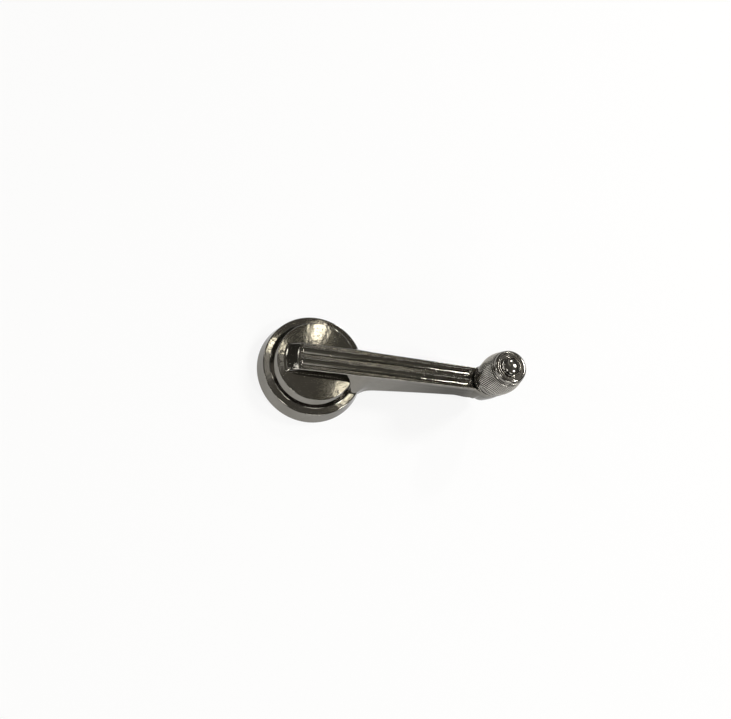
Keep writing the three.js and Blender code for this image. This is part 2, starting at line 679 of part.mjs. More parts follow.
// Cap: plugs the barrel; its face steps down to a flat, a groove and the lip round the pin's head
function knobCap() {
  const bore = SHANK_RADIUS + 0.4;
  const spigot = spigotBore - CAP_SPIGOT_GAP;
  return turned([
    [bore, coreTop + SEAT_GAP],
    [spigot, coreTop + SEAT_GAP],
    [spigot, capFoot],
    [CAP_RADIUS, capFoot],
    ...arc(CAP_RADIUS - CAP_EDGE_RADIUS, capFoot + CAP_WALL_HEIGHT, CAP_EDGE_RADIUS, 0, 90),
    [CAP_RIM_INNER_RADIUS + CAP_STEP / 2, capFace],
    [CAP_RIM_INNER_RADIUS, flatFace],
    [CAP_FLAT_INNER_RADIUS, flatFace],
    [CAP_FLAT_INNER_RADIUS - 0.15, flatFace - CAP_GROOVE_DEPTH],
    [CAP_LIP_OUTER_RADIUS, flatFace - CAP_GROOVE_DEPTH],
    [CAP_LIP_OUTER_RADIUS - 0.15, lipTop - 0.2],
    [(CAP_LIP_OUTER_RADIUS + CAP_LIP_RADIUS) / 2, lipTop],
    [CAP_LIP_RADIUS, lipTop - 0.3],
    [CAP_LIP_RADIUS, recessFloor],
    [bore, recessFloor],
    [bore, coreTop + SEAT_GAP],
  ], KNOB_CENTRE_X);
}

// The assembly
const fixedPieces = [
  piece("handle_casting", handleCasting(), chrome),
  piece("spline_sleeve", splineSleeve(), steel),
  piece("retaining_clip", retainingClip(), springSteel),
  piece("pivot_pin", pivotPin(), chrome),
  piece("tail_washer", tailWasher(), steel),
  piece("thrust_washer", thrustWasher(), brass),
];
const knobPieces = [
  piece("wave_washer", waveWasher(), springSteel),
  piece("knob_bush", knobBush(), brass),
  piece("knob_core", knobCore(), moulding),
  piece("knob_base_ring", baseRing(), chrome),
  piece("knurled_barrel", knurledBarrel(), chrome),
  piece("bead_ring", beadRing(), chrome),
  piece("knob_cap", knobCap(), chrome),
  piece("head_washer", headWasher(), steel),
];

const knob = new THREE.Group();
knob.add(...knobPieces);

const handle = new THREE.Group();
handle.add(...fixedPieces, knob);
handle.position.z = -SOCKET_DEPTH;

const part = new THREE.Group();
part.add(handle);

export default part;
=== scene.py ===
import math

import bmesh
import bpy
from mathutils import Matrix, Vector


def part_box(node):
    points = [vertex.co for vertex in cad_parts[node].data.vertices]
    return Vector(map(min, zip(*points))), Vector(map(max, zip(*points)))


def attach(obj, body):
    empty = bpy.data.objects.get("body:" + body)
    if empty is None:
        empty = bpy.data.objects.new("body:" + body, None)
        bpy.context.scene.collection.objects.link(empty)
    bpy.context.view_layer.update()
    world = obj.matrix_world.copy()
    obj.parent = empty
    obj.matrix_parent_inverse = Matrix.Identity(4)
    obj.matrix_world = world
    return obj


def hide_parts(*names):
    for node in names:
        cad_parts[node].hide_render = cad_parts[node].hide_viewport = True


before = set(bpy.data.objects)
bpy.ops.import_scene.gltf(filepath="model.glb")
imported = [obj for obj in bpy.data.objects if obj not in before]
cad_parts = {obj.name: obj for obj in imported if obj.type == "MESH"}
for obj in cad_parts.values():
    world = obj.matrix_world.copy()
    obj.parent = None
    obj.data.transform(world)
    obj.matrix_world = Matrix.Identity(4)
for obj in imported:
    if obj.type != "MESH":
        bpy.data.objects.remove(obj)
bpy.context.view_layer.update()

# A plated car window winder handle: stepped hub, fluted arm, tip boss and a knurled knob that
# spins on a domed pin. Sizes are millimetres, and heights start at the hub's back face.

MM = 0.001
BACK_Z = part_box("handle_casting")[0].z / MM
KNOB_X = sum(corner.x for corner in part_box("knob_cap")) / 2 / MM


def foot_of(node):
    """The height at which a piece of the frame starts."""
    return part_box(node)[0].z / MM - BACK_Z


def top_of(node):
    """The height at which a piece of the frame ends."""
    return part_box(node)[1].z / MM - BACK_Z


BASE_RING_LOW = foot_of("knob_base_ring")
BARREL_LOW = foot_of("knurled_barrel")
BARREL_HIGH = top_of("knurled_barrel")
BEAD_LOW = foot_of("bead_ring")
CAP_LOW = foot_of("knob_cap")
PIN_HIGH = top_of("pivot_pin")

# Camera, solved from the rings of the hub seen in perspective
PHOTO_FOCAL_PIXELS = 830
PHOTO_WIDTH_PIXELS = 731
SENSOR_WIDTH = 36
CAMERA_PLACE = (-85.5, -138.5, 412.4)
CAMERA_TARGET = (30.4, 10.6, 0.0)
CAMERA_ROLL_DEGREES = 43.4
CAMERA_NEAR_METRES = 0.01
CAMERA_FAR_METRES = 50

# Hub
HUB_RADIUS = 28.5
TIER_RADIUS = 26.9
TIER_HEIGHT = 9.1
TIER_EDGE = 0.7
CROWN_FOOT_RADIUS = 23.6
CROWN_FOOT_FILLET = 0.6
CROWN_HEIGHT = 16.4
CROWN_DRAFT_DEGREES = 18
CROWN_EDGE = 0.4
POCKET_OUTER_RADIUS = 23.2
POCKET_STEP_RADIUS = 17.5
POCKET_ROOF = 7.2
POCKET_STEP_ROOF = 4.2
RIB_COUNT = 6
RIB_THICKNESS = 2.2
RIB_SETBACK = 4.6
SOCKET_BOSS_RADIUS = 10.2
SOCKET_BOSS_SETBACK = 1.0
SOCKET_DEPTH = 13.0
SOCKET_RADIUS = 7.65
SOCKET_SHOULDER = 0.6
SOCKET_FLOOR_RADIUS = 5.3
CLIP_LEG_SPACING = 10.8
CLIP_HEIGHT = 3.4
CLIP_SLOT_HALF = 0.95

# How far a cutter passes the face that it cuts
CUT_MARGIN = 1.0

# Arm
NOSE_X = -16.6
NOSE_ROUND = 23.0
NOSE_SLOPE = 1.12
NOSE_EDGE = 1.2
NOSE_EDGE_FADE = 5.0
NOSE_BLEND = 0.7
NOSE_FOOT_BLEND = 1.0
NOSE_SINK = 0.02
ARM_TOP_START = 21.3
ARM_TOP_END = 25.1
ARM_TOP_BOW = 0.45
ARM_HALF_WIDTH_START = 7.35
ARM_HALF_WIDTH_END = 5.95
ARM_EDGE = 0.55
ARM_LOW_EDGE = 0.8
ARM_LEAST_WALL = 3.0
ARM_SIDE_DRAFT = 0.06
UNDERSIDE_X = 25.0
UNDERSIDE_START = 1.5
UNDERSIDE_END = 13.6
UNDERSIDE_POWER = 1.35
ROOT_FLARE = 6.0
ROOT_FLARE_X = 21.0
ROOT_FLARE_REACH = 6.0
ROOT_FLARE_DEPTH = 16.0
ROOT_FLARE_POWER = 0.95
ROOT_FLARE_FULL_DEPTH = 13.5
TIP_FILLET = 3.0
TIP_FADE = 5.0
TIP_DIP = 2.2
TIP_DIP_X = 76.5
TIP_DIP_REACH = 9.0
FLUTE_START_X = -9.4
FLUTE_END_X = 82.6
FLUTE_END_ROUND = 1.3
FLUTE_RUN_IN_DEGREES = 12
RIDGE_HALF_WIDTH = 1.0
FLUTE_WIDTH = 3.9
FLUTE_DEPTH = 1.25
FLUTE_EDGE_DEPTH = 0.4
CHANNEL_START_X = 31.0
CHANNEL_END_X = 80.0
CHANNEL_WALL = 2.0
CHANNEL_ROOF = 3.3
CHANNEL_DRAFT = 0.4
CHANNEL_CORNER = 0.6

# Sections along the arm, from just ahead of the nose: the number of steps to each place
NOSE_LEAD = 1.5
ARM_START_X = NOSE_X - NOSE_LEAD
ARM_STRETCHES = [(48, FLUTE_START_X + 2), (12, 6), (60, 36), (20, 76), (44, KNOB_X)]

# Tip boss
BOSS_FOOT_RADIUS = 7.4
BOSS_FOOT_HEIGHT = 10.8
BOSS_FOOT_ROUND = 0.7
BOSS_RADIUS = 9.3
BOSS_EDGE = 0.4
BOSS_SHOULDER_HEIGHT = 26.2
BOSS_SEAT_RADIUS = 8.1
BOSS_SEAT_HEIGHT = 27.4
BOSS_SEAT_EDGE = 0.3
BOSS_SEAT_DRAFT = 0.05
BOSS_GROOVE_RADIUS = 8.6
BOSS_GROOVE_DEPTH = 0.5
BOSS_GROOVE_DRAFT = 0.1
COUNTERBORE_RADIUS = 6.0
COUNTERBORE_ROOF = 21.0
PIN_HOLE_RADIUS = 2.65

# Knurled barrel: its teeth stand on a tube that lies lower by the depth of the knurl
BARREL_FOOT_RADIUS = 10.25
BARREL_TOP_RADIUS = 9.15
BARREL_BULGE = 1.05
BARREL_WALL = 1.1
KNURL_COUNT = 72
KNURL_DEPTH = 0.32
KNURL_MARGIN = 0.5
KNURL_MARGIN_SHARE = 0.5
KNURL_RUN_OUT = 0.5
KNURL_FILL = 0.98
KNURL_CREST_SHARE = 0.16
KNURL_ROOT_DEPTH = 0.3
KNURL_CROSS_CUTS = 15
KNURL_CUT_CREST = 0.45

# Rings and cap
BASE_RING_FOOT_RADIUS = 9.9
BASE_RING_RADIUS = 10.15
BASE_RING_BORE = 7.7
BASE_RING_HEIGHT = 3.0
BASE_RING_EDGE = 0.35
BASE_RING_TOP_EDGE = 0.15
BEAD_HEIGHT = 1.0
BEAD_RADIUS = 9.2
BEAD_SETBACK = 0.05
CAP_RADIUS = 8.8
CAP_WALL_HEIGHT = 0.8
CAP_EDGE_RADIUS = 1.5
CAP_SPIGOT = 2.0
CAP_SPIGOT_RADIUS = 7.9
CAP_BORE = 3.8
CAP_RIM_INNER_RADIUS = 7.0
CAP_RIM_EDGE = 0.15
CAP_STEP = 0.45
CAP_STEP_SLOPE = 0.6
CAP_FLAT_INNER_RADIUS = 6.0
CAP_FLAT_EDGE = 0.1
CAP_GROOVE_DEPTH = 0.5
CAP_GROOVE_DRAFT = 0.15
CAP_LIP_OUTER_RADIUS = 5.25
CAP_LIP_RADIUS = 4.65
CAP_LIP_HEIGHT = 1.2
HEAD_RECESS_DEPTH = 1.7

# Pin
HEAD_RADIUS = 4.2
HEAD_DOME_HEIGHT = 1.5
HEAD_EDGE = 0.8
HEAD_CHAMFER = 0.2
SHANK_RADIUS = 3.4
SEAT_GAP = 0.1
NECK_RADIUS = 2.6
TAIL_WASHER_THICKNESS = 1.0
TAIL_RADIUS = 4.0
TAIL_HEIGHT = 1.3
TAIL_FLAT_RADIUS = 2.7
TAIL_ROUND = 1.0

# Smoothness
HUB_STEPS = 256
ROUND_STEPS = 160
ARC_STEPS = 10
EDGE_STEPS = 8
SMALL_STEPS = 6
FINE_STEPS = 4
CORNER_STEPS = 5
BEAD_STEPS = 16
DOME_STEPS = 16
WALL_STEPS = 14
FLUTE_STEPS = 16
LONG_FLUTE_STEPS = 40
CHANNEL_STEPS = 20
BARREL_STEPS = 32
SMOOTH_ANGLE_DEGREES = 32
TOOTH_SMOOTH_ANGLE_DEGREES = 20
FACE_AREA_WEIGHT = 100

# Metres: points this near are merged, before and after the cuts, and shorter edges dissolved
MERGE_DISTANCE = 1e-7
CUT_MERGE_DISTANCE = 2e-7
SLIVER = 1e-8

# Plate: noise scales are per metre, depths are millimetres
BEVEL_SAMPLES = 4
WEAR_STRENGTH = 0.6
FILM_SCALE = 90
FILM_STOPS = [(0.35, 0.0), (0.7, 1.0)]
FILM_SHADE = 0.4
FILM_ROUGHNESS = 0.04
PIT_SCALE = 1000
PIT_STOPS = [(0.62, 0.0), (0.7, 1.0)]
PIT_SHADE = 0.5
PIT_ROUGHNESS = 0.2
PIT_DEPTH = 0.03
PEEL_SCALE = 420
PEEL_DEPTH = 0.02
WAVE_SCALE = 120
WAVE_DEPTH = 0.05
WAVE_STRENGTH = 0.3
DRAW_LINE_STRETCH = (160, 1500, 1500)
DRAW_LINE_DEPTH = 0.045
DRAW_LINE_HEIGHTS = (CROWN_HEIGHT + 2, CROWN_HEIGHT + 3)
EDGE_SHEEN = (0.7, 0.7, 0.7)
# Painted shade on the arm's walls towards the knob: where along the arm, the heights at which it fades
# out below the top face, and its colour
TIP_SHADE_SPAN = (35.0, 95.0)
TIP_SHADE_STOPS = [(0.0, 0.0), (0.62, 1.0), (0.76, 1.0), (0.9, 0.4)]
TIP_SHADE_HEIGHTS = (21.5, 24.0)
TIP_SHADE_COLOUR = (0.075, 0.07, 0.06)
# Painted shade in the roots of the knurl's teeth: its colour, and where it fades out up the tooth
KNURL_ROOT_SHADE = (0.05, 0.045, 0.036)
KNURL_ROOT_SHADE_STOPS = [(0.35, 1.0), (0.75, 0.0)]
TOOTH_HEIGHT = "tooth_height"

# Bare metal and moulding
PATCH_SCALE = 120
GRAIN_SCALE = 2500
GRAIN_ROUGHNESS = 0.16
GRAIN_DEPTH = 0.02
FILLER_SCALE = 900
FILLER_TINT = 1.8
FILLER_ROUGHNESS = 0.2
FILLER_DEPTH = 0.03

# Studio
PAPER = (0.985, 0.985, 0.983)
FLOOR_GLOW = 0.85
FLOOR_REACH_METRES = 6.0
FLOOR_GAP = 0.02
ROOM_LOW = (0.03, 0.028, 0.026)
ROOM_HIGH = (0.17, 0.162, 0.145)
LAMP_COLOUR = (1.0, 0.99, 0.97)
SPOT_COLOUR = (1.0, 0.95, 0.8)
LAMP_AIM = (0.03, 0.0, 0.0)

# Lamps: turn and height in degrees, distance, width and length in metres, share of the light
WARM_SPOTS = {
    "ceiling_spot_a": (65.1, 65.9, 1.3, 0.024, 0.05, 0.0014),
    "ceiling_spot_b": (50.8, 68.7, 1.3, 0.05, 0.05, 0.0018),
    "ceiling_spot_c": (73.3, 68.8, 1.3, 0.03, 0.03, 0.0008),
}
SOFT_LAMPS = {
    "ceiling_spot_d": (73.3, 71.0, 1.3, 0.06, 0.06, 0.00025),
    "soft_far": (62, 40, 1.6, 0.1, 0.1, 0.08),
    "dim_far": (62, 32, 1.6, 0.3, 0.9, 0.009),
    "soft_right": (28, 45, 1.6, 0.3, 0.3, 0.28),
    "soft_near": (-17, 52, 1.6, 0.25, 0.25, 0.22),
    "soft_left": (150, 33, 1.6, 0.25, 0.25, 0.03),
    "soft_front": (232, 62, 1.6, 0.25, 0.25, 0.1),
    "soft_back": (83, 38, 1.6, 0.16, 1.9, 0.014),
    "soft_low": (222, 20, 1.6, 1.1, 0.1, 0.045),
    "soft_side": (188, 24, 1.6, 0.4, 0.12, 0.03),
    "soft_edge": (-74, 22, 1.6, 1.0, 0.3, 0.08),
    "dim_left": (176, 37, 1.6, 0.7, 0.22, 0.005),
}


# Node trees
class Value:
    """A node's socket as a number: an expression on values adds its Math nodes."""

    def __init__(self, graph, socket):
        self.graph = graph
        self.socket = socket

    def _math(self, operation, first, second):
        return self.graph.node("ShaderNodeMath", {"operation": operation}, {0: first, 1: second})

    def __add__(self, other):
        return self._math("ADD", self, other)

    def __sub__(self, other):
        return self._math("SUBTRACT", self, other)

    def __mul__(self, other):
        return self._math("MULTIPLY", self, other)

    def __truediv__(self, other):
        return self._math("DIVIDE", self, other)

    def __rsub__(self, other):
        return self._math("SUBTRACT", other, self)

    def __rtruediv__(self, other):
        return self._math("DIVIDE", other, self)

    __radd__ = __add__
    __rmul__ = __mul__


class Graph:
    """A node tree of any kind. Colours are given without their alpha."""

    def __init__(self, tree):
        self.tree = tree

    def node(self, kind, settings=None, inputs=None, output=0):
        """A node with its settings set first, then the values or links of its sockets."""
        made = self.tree.nodes.new(kind)
        for key, value in (settings or {}).items():
            if key == "stops":
                self._set_stops(made.color_ramp, value)
            else:
                setattr(made, key, value)
        for key, value in (inputs or {}).items():
            self.feed(made.inputs[key], value)
        return Value(self, made.outputs[output]) if made.outputs else None

    def _set_stops(self, ramp, stops):
        while len(ramp.elements) < len(stops):
            ramp.elements.new(0.5)
        for element, (place, shade) in zip(ramp.elements, stops):
            element.position = place
            element.color = (*shade, 1) if isinstance(shade, tuple) else (shade, shade, shade, 1)

    def feed(self, socket, value):
        if isinstance(value, Value):
            self.tree.links.new(value.socket, socket)
        elif socket.type == "RGBA":
            socket.default_value = (*value, 1)
        else:
            socket.default_value = value


class Finish(Graph):
    """The shader tree of a material or of the room, with the patterns that finishes share."""

    def __init__(self, owner, shader="Principled BSDF"):
        owner.use_nodes = True
        super().__init__(owner.node_tree)
        self.owner = owner
        self.shader = self.tree.nodes[shader]

    def set(self, **inputs):
        for key, value in inputs.items():
            self.feed(self.shader.inputs[key.replace("_", " ")], value)

    def places(self):
        return self.node("ShaderNodeTexCoord", output="Object")

    def share_of_way(self, axis, start, end):
        """0 at one place on an axis, 1 at another."""
        place = self.node("ShaderNodeSeparateXYZ", inputs={"Vector": self.places()}, output=axis)
        return (place - start * MM) * (1 / ((end - start) * MM))

    def height_above(self, low, high):
        """0 up to one height above the hub's back, 1 from another."""
        share = self.share_of_way("Z", low + BACK_Z, high + BACK_Z)
        return self.ramp(share, [(0.0, 0.0), (1.0, 1.0)])

    def along_arm(self, start, end, stops):
        """A ramp between two places along the arm."""
        return self.ramp(self.share_of_way("X", start, end), stops)

    def noise(self, scale, detail=2.0, roughness=0.5, stretch=None):
        places = self.places()
        if stretch:
            settings = {"operation": "MULTIPLY"}
            places = self.node("ShaderNodeVectorMath", settings, {0: places, 1: stretch})
        inputs = {"Vector": places, "Scale": scale, "Detail": detail, "Roughness": roughness}
        return self.node("ShaderNodeTexNoise", inputs=inputs)

    def ramp(self, value, stops):
        return self.node("ShaderNodeValToRGB", {"stops": stops}, {"Fac": value})

    def mix(self, share, first, second):
        inputs = {"Factor": share, "A": first, "B": second}
        return self.node("ShaderNodeMix", {"data_type": "RGBA"}, inputs, "Result")

    def bump(self, height, depth, strength=1.0, normal=None):
        inputs = {"Height": height, "Distance": depth * MM, "Strength": strength}
        if normal is not None:
            inputs["Normal"] = normal
        return self.node("ShaderNodeBump", inputs=inputs)


# Finishes
def new_finish(name):
    return Finish(bpy.data.materials.new(name))


def plated(name, tint, shade, edge_radius, roughness=0.04, wear=1.0, arm=False, knurl=False):
    """Old plate: hazy patches, fine pits, a faint peel that breaks reflections, softened edges."""
    finish = new_finish(name)
    film = finish.ramp(finish.noise(FILM_SCALE, detail=4, roughness=0.6), FILM_STOPS)
    pits = finish.ramp(finish.noise(PIT_SCALE, detail=3, roughness=0.6), PIT_STOPS)
    plate = finish.mix(film * FILM_SHADE + pits * (PIT_SHADE * wear), tint, shade)
    if arm:
        # Painted shade: the arm's walls are darkened towards the knob, fading out below the top face.
        tip_shade = finish.along_arm(*TIP_SHADE_SPAN, TIP_SHADE_STOPS) * (1 - finish.height_above(*TIP_SHADE_HEIGHTS))
        plate = finish.mix(tip_shade, plate, TIP_SHADE_COLOUR)
    if knurl:
        # Painted shade: the roots of the knurl's teeth are darkened.
        tooth = finish.node("ShaderNodeAttribute", {"attribute_name": TOOTH_HEIGHT}, output="Fac")
        plate = finish.mix(finish.ramp(tooth, KNURL_ROOT_SHADE_STOPS), plate, KNURL_ROOT_SHADE)
    finish.set(
        Base_Color=plate,
        Metallic=1.0,
        Roughness=roughness + film * FILM_ROUGHNESS + pits * (PIT_ROUGHNESS * wear),
        Specular_Tint=EDGE_SHEEN,
    )
    normal = finish.node("ShaderNodeBevel", {"samples": BEVEL_SAMPLES}, {"Radius": edge_radius * MM})
    normal = finish.bump(finish.noise(WAVE_SCALE), WAVE_DEPTH, WAVE_STRENGTH, normal)
    normal = finish.bump(finish.noise(PEEL_SCALE), PEEL_DEPTH, WEAR_STRENGTH * wear, normal)
    if arm:
        lines = finish.noise(1, detail=3, roughness=0.7, stretch=DRAW_LINE_STRETCH)
        above = finish.height_above(*DRAW_LINE_HEIGHTS)
        normal = finish.bump(lines * above, DRAW_LINE_DEPTH, normal=normal)
    finish.set(Normal=finish.bump(1 - pits, PIT_DEPTH, WEAR_STRENGTH * wear, normal))
    return finish.owner


def bare_metal(name, tint, shade, roughness):
    """Plain or oiled metal with a fine grain and darker patches."""
    finish = new_finish(name)
    patches = finish.noise(PATCH_SCALE, detail=4, roughness=0.6)
    grain = finish.noise(GRAIN_SCALE, detail=3, roughness=0.7)
    finish.set(
        Base_Color=finish.mix(patches, tint, shade),
        Metallic=1.0,
        Roughness=roughness - GRAIN_ROUGHNESS / 2 + grain * GRAIN_ROUGHNESS,
        Normal=finish.bump(grain, GRAIN_DEPTH, strength=0.6),
    )
    return finish.owner


def moulded(name, tint, roughness):
    """A moulding with the mottle of its filler."""
    finish = new_finish(name)
    filler = finish.noise(FILLER_SCALE, detail=4, roughness=0.6)
    finish.set(
        Base_Color=finish.mix(filler, tint, tuple(part * FILLER_TINT for part in tint)),
        Roughness=roughness + filler * FILLER_ROUGHNESS,
        Normal=finish.bump(filler, FILLER_DEPTH, strength=0.5),
    )
    return finish.owner


# Lengths and outlines
def lerp(first, second, share):
    return first + (second - first) * share


def spaced(start, end, count):
    return [lerp(start, end, i / count) for i in range(count + 1)]


def stations(start, stretches):
    """Places from a start, with the number of steps to the end of each stretch."""
    places = [start]
    for count, end in stretches:
        places += spaced(start, end, count)[1:]
        start = end
    return places


def smooth_step(value):
    value = min(max(value, 0), 1)
    return value * value * (3 - 2 * value)


def smooth_max(first, second, reach):
    """The larger of two lengths, rounded over where they are within reach of each other."""
    near = max(reach - abs(first - second), 0) / reach
    return max(first, second) + near * near * reach / 4


def arc(centre_r, centre_z, radius, start, end, steps=ARC_STEPS):
    turns = [math.radians(turn) for turn in spaced(start, end, steps)]
    return [(centre_r + radius * math.cos(a), centre_z + radius * math.sin(a)) for a in turns]


# Meshes
def mesh_object(name, points, faces):
    """A closed mesh from millimetre points, merged, with its faces outwards."""
    mesh = bpy.data.meshes.new(name)
    mesh.from_pydata([(x * MM, y * MM, (z + BACK_Z) * MM) for x, y, z in points], [], faces)
    work = bmesh.new()
    work.from_mesh(mesh)
    bmesh.ops.remove_doubles(work, verts=work.verts, dist=MERGE_DISTANCE)
    bmesh.ops.dissolve_degenerate(work, edges=work.edges, dist=SLIVER)
    bmesh.ops.recalc_face_normals(work, faces=work.faces)
    work.to_mesh(mesh)
    work.free()
    made = bpy.data.objects.new(name, mesh)
    bpy.context.scene.collection.objects.link(made)
    return made


def turned(name, profile, x=0.0, steps=ROUND_STEPS):
    """A turned solid about a vertical axis, from an outline's points of radius and height."""
    points = []
    for i in range(steps):
        angle = 2 * math.pi * i / steps
        points += [(x + r * math.cos(angle), r * math.sin(angle), z) for r, z in profile]
    size = len(profile)
    faces = []
    for i in range(steps):
        here = i * size
        beside = (i + 1) % steps * size
        for k in range(size):
            after = (k + 1) % size
            if profile[k][0] != 0 or profile[after][0] != 0:
                faces.append((here + k, beside + k, beside + after, here + after))
    return mesh_object(name, points, faces)


def skin_faces(rings, size):
    """The faces of a skin through rings of points, with flat ends."""
    faces = []
    for ring in range(rings - 1):
        here = ring * size
        there = here + size
        for i in range(size):
            after = (i + 1) % size
            faces.append((here + i, here + after, there + after, there + i))
    last = (rings - 1) * size
    return [*faces, tuple(reversed(range(size))), tuple(range(last, last + size))]


def lofted(name, sections):
    """A skin through closed sections of (y, z) points at rising x, with flat ends."""
    points = [(x, y, z) for x, section in sections for y, z in section]
    return mesh_object(name, points, skin_faces(len(sections), len(sections[0][1])))


def block(name, low, high):
    """A box between two corners."""
    xs, ys, zs = zip(low, high)
    points = [(x, y, z) for x in xs for y in ys for z in zs]
    faces = [(0, 1, 3, 2), (4, 6, 7, 5), (0, 4, 5, 1), (2, 3, 7, 6), (0, 2, 6, 4), (1, 5, 7, 3)]
    return mesh_object(name, points, faces)


def baked(obj):
    """The object with its modifiers worked into its mesh."""
    depsgraph = bpy.context.evaluated_depsgraph_get()
    made = bpy.data.meshes.new_from_object(obj.evaluated_get(depsgraph), depsgraph=depsgraph)
    obj.modifiers.clear()
    obj.data = made
    return obj


def combined(base, operation, tools):
    """Joins tools to base or cuts them from it, and deletes them."""
    for tool in tools:
        cut = base.modifiers.new("cut", "BOOLEAN")
        cut.operation = operation
        cut.solver = "EXACT"
        cut.object = tool
        baked(base)
        bpy.data.objects.remove(tool)
    return base


def smoothed(obj, angle=SMOOTH_ANGLE_DEGREES):
    """Closes what the cuts left open, and shades all but the sharp edges smoothly."""
    work = bmesh.new()
    work.from_mesh(obj.data)
    bmesh.ops.remove_doubles(work, verts=work.verts, dist=CUT_MERGE_DISTANCE)
    bmesh.ops.holes_fill(work, edges=[edge for edge in work.edges if edge.is_boundary], sides=0)
    for face in work.faces:
        face.smooth = True
    for edge in work.edges:
        edge.smooth = edge.calc_face_angle(0) < math.radians(angle)
    work.to_mesh(obj.data)
    work.free()
    weights = obj.modifiers.new("weights", "WEIGHTED_NORMAL")
    weights.keep_sharp = True
    weights.weight = FACE_AREA_WEIGHT
    return baked(obj)


def finished(obj, material, body, node):
    """Paints a piece and puts it in the place of a node of the frame."""
    obj.data.materials.clear()
    obj.data.materials.append(material)
    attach(obj, body)
    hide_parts(node)


# Casting
def arm_share(x):
    return (x - NOSE_X) / (KNOB_X - NOSE_X)


def arm_top(x):
    share = arm_share(x)
    return lerp(ARM_TOP_START, ARM_TOP_END, share) + ARM_TOP_BOW * math.sin(math.pi * share)


def arm_underside(x):
    """The lower edge, which rises to the tip and dips to the foot of the boss."""
    share = min(max((x - UNDERSIDE_X) / (KNOB_X - UNDERSIDE_X), 0), 1)
    dip = TIP_DIP * smooth_step((x - TIP_DIP_X) / TIP_DIP_REACH)
    return lerp(UNDERSIDE_START, UNDERSIDE_END, 1 - (1 - share) ** UNDERSIDE_POWER) - dip


def arm_half_width(x):
    return lerp(ARM_HALF_WIDTH_START, ARM_HALF_WIDTH_END, arm_share(x))


def boss_radius(z):
    """The boss's waisted wall."""
    share = (z - BOSS_FOOT_HEIGHT) / (BOSS_SHOULDER_HEIGHT - BOSS_FOOT_HEIGHT)
    return lerp(BOSS_FOOT_RADIUS, BOSS_RADIUS, math.sin(min(max(share, 0), 1) * math.pi / 2))


def wall_half_width(x, z):
    """Half the arm's width at a height: its draft, the flare into the hub, the fillet to the boss."""
    depth = arm_top(x) - z
    bell = math.exp(-(((x - ROOT_FLARE_X) / ROOT_FLARE_REACH) ** 2))
    share = max(min(depth, ROOT_FLARE_FULL_DEPTH), 0) / ROOT_FLARE_DEPTH
    root = ROOT_FLARE * bell * share**ROOT_FLARE_POWER
    wall = arm_half_width(x) + ARM_SIDE_DRAFT * depth + root
    faded = wall * (1 - smooth_step((x - KNOB_X) / TIP_FADE + 1))
    boss = math.sqrt(max(boss_radius(z) ** 2 - (KNOB_X - x) ** 2, 0))
    return smooth_max(faded, boss, TIP_FILLET)


def face_height(x, y):
    """The arm's top face, which runs out down the sloped and rounded nose."""
    centre = NOSE_X + NOSE_ROUND
    if x > centre:
        return arm_top(x)
    slope = CROWN_HEIGHT + (NOSE_ROUND - math.hypot(x - centre, y)) / NOSE_SLOPE
    face = -smooth_max(-arm_top(x), -slope, NOSE_BLEND)
    return smooth_max(face, CROWN_HEIGHT - NOSE_SINK, NOSE_FOOT_BLEND)


def arm_section(x):
    """The arm's outline across, from its lower edge up the wall, over the face and back."""
    nose_share = 1 - smooth_step((x - FLUTE_START_X) / NOSE_EDGE_FADE)
    edge = lerp(ARM_EDGE, NOSE_EDGE, nose_share)
    guess = face_height(x, arm_half_width(x) - edge) - edge
    inner = wall_half_width(x, guess) - edge
    edge_z = face_height(x, inner) - edge
    low = min(arm_underside(x), edge_z - ARM_LEAST_WALL) + ARM_LOW_EDGE
    foot = arc(wall_half_width(x, low) - ARM_LOW_EDGE, low, ARM_LOW_EDGE, -90, 0, SMALL_STEPS)
    side = foot[:-1] + [(wall_half_width(x, z), z) for z in spaced(low, edge_z, WALL_STEPS)]
    rounding = arc(side[-1][0] - edge, edge_z, edge, 0, 90, EDGE_STEPS)
    face = [(y, face_height(x, y)) for y in spaced(rounding[-1][0], 0, EDGE_STEPS)]
    right = side + rounding[1:] + face[1:]
    return right + [(-y, z) for y, z in reversed(right[:-1])]


def flute_cutter(name, near, far):
    """A round-bottomed cutter that follows the arm's top and rises in a quarter round at its ends."""
    middle = (far + near) / 2

    def section(x):
        left = min(x - FLUTE_START_X, FLUTE_END_X - x) / FLUTE_END_ROUND
        run_in = math.sqrt(1 - max(1 - left, 0) ** 2)
        half = (far - near) / 2 - FLUTE_END_ROUND * (1 - run_in)
        floor = []
        for share in spaced(-1, 1, FLUTE_STEPS):
            depth = lerp(FLUTE_EDGE_DEPTH, FLUTE_DEPTH, 1 - share**2)
            floor.append((middle + half * share, arm_top(x) - depth * run_in))
        high = arm_top(x) + 2 * CUT_MARGIN
        return [*floor, (middle + half, high), (middle - half, high)]

    turns = [math.radians(turn) for turn in spaced(FLUTE_RUN_IN_DEGREES, 90, EDGE_STEPS)]
    starts = [FLUTE_START_X + FLUTE_END_ROUND * (1 - math.cos(a)) for a in turns]
    ends = [FLUTE_END_X - FLUTE_END_ROUND * (1 - math.cos(a)) for a in reversed(turns)]
    places = [*starts, *spaced(starts[-1], ends[0], LONG_FLUTE_STEPS)[1:-1], *ends]
    return lofted(name, [(x, section(x)) for x in places])


def arm_piece():
    bar = lofted("arm", [(x, arm_section(x)) for x in stations(ARM_START_X, ARM_STRETCHES)])
    outer = RIDGE_HALF_WIDTH + FLUTE_WIDTH
    flutes = [
        flute_cutter("flute_near", -outer, -RIDGE_HALF_WIDTH),
        flute_cutter("flute_far", RIDGE_HALF_WIDTH, outer),
    ]
    return combined(bar, "DIFFERENCE", flutes)


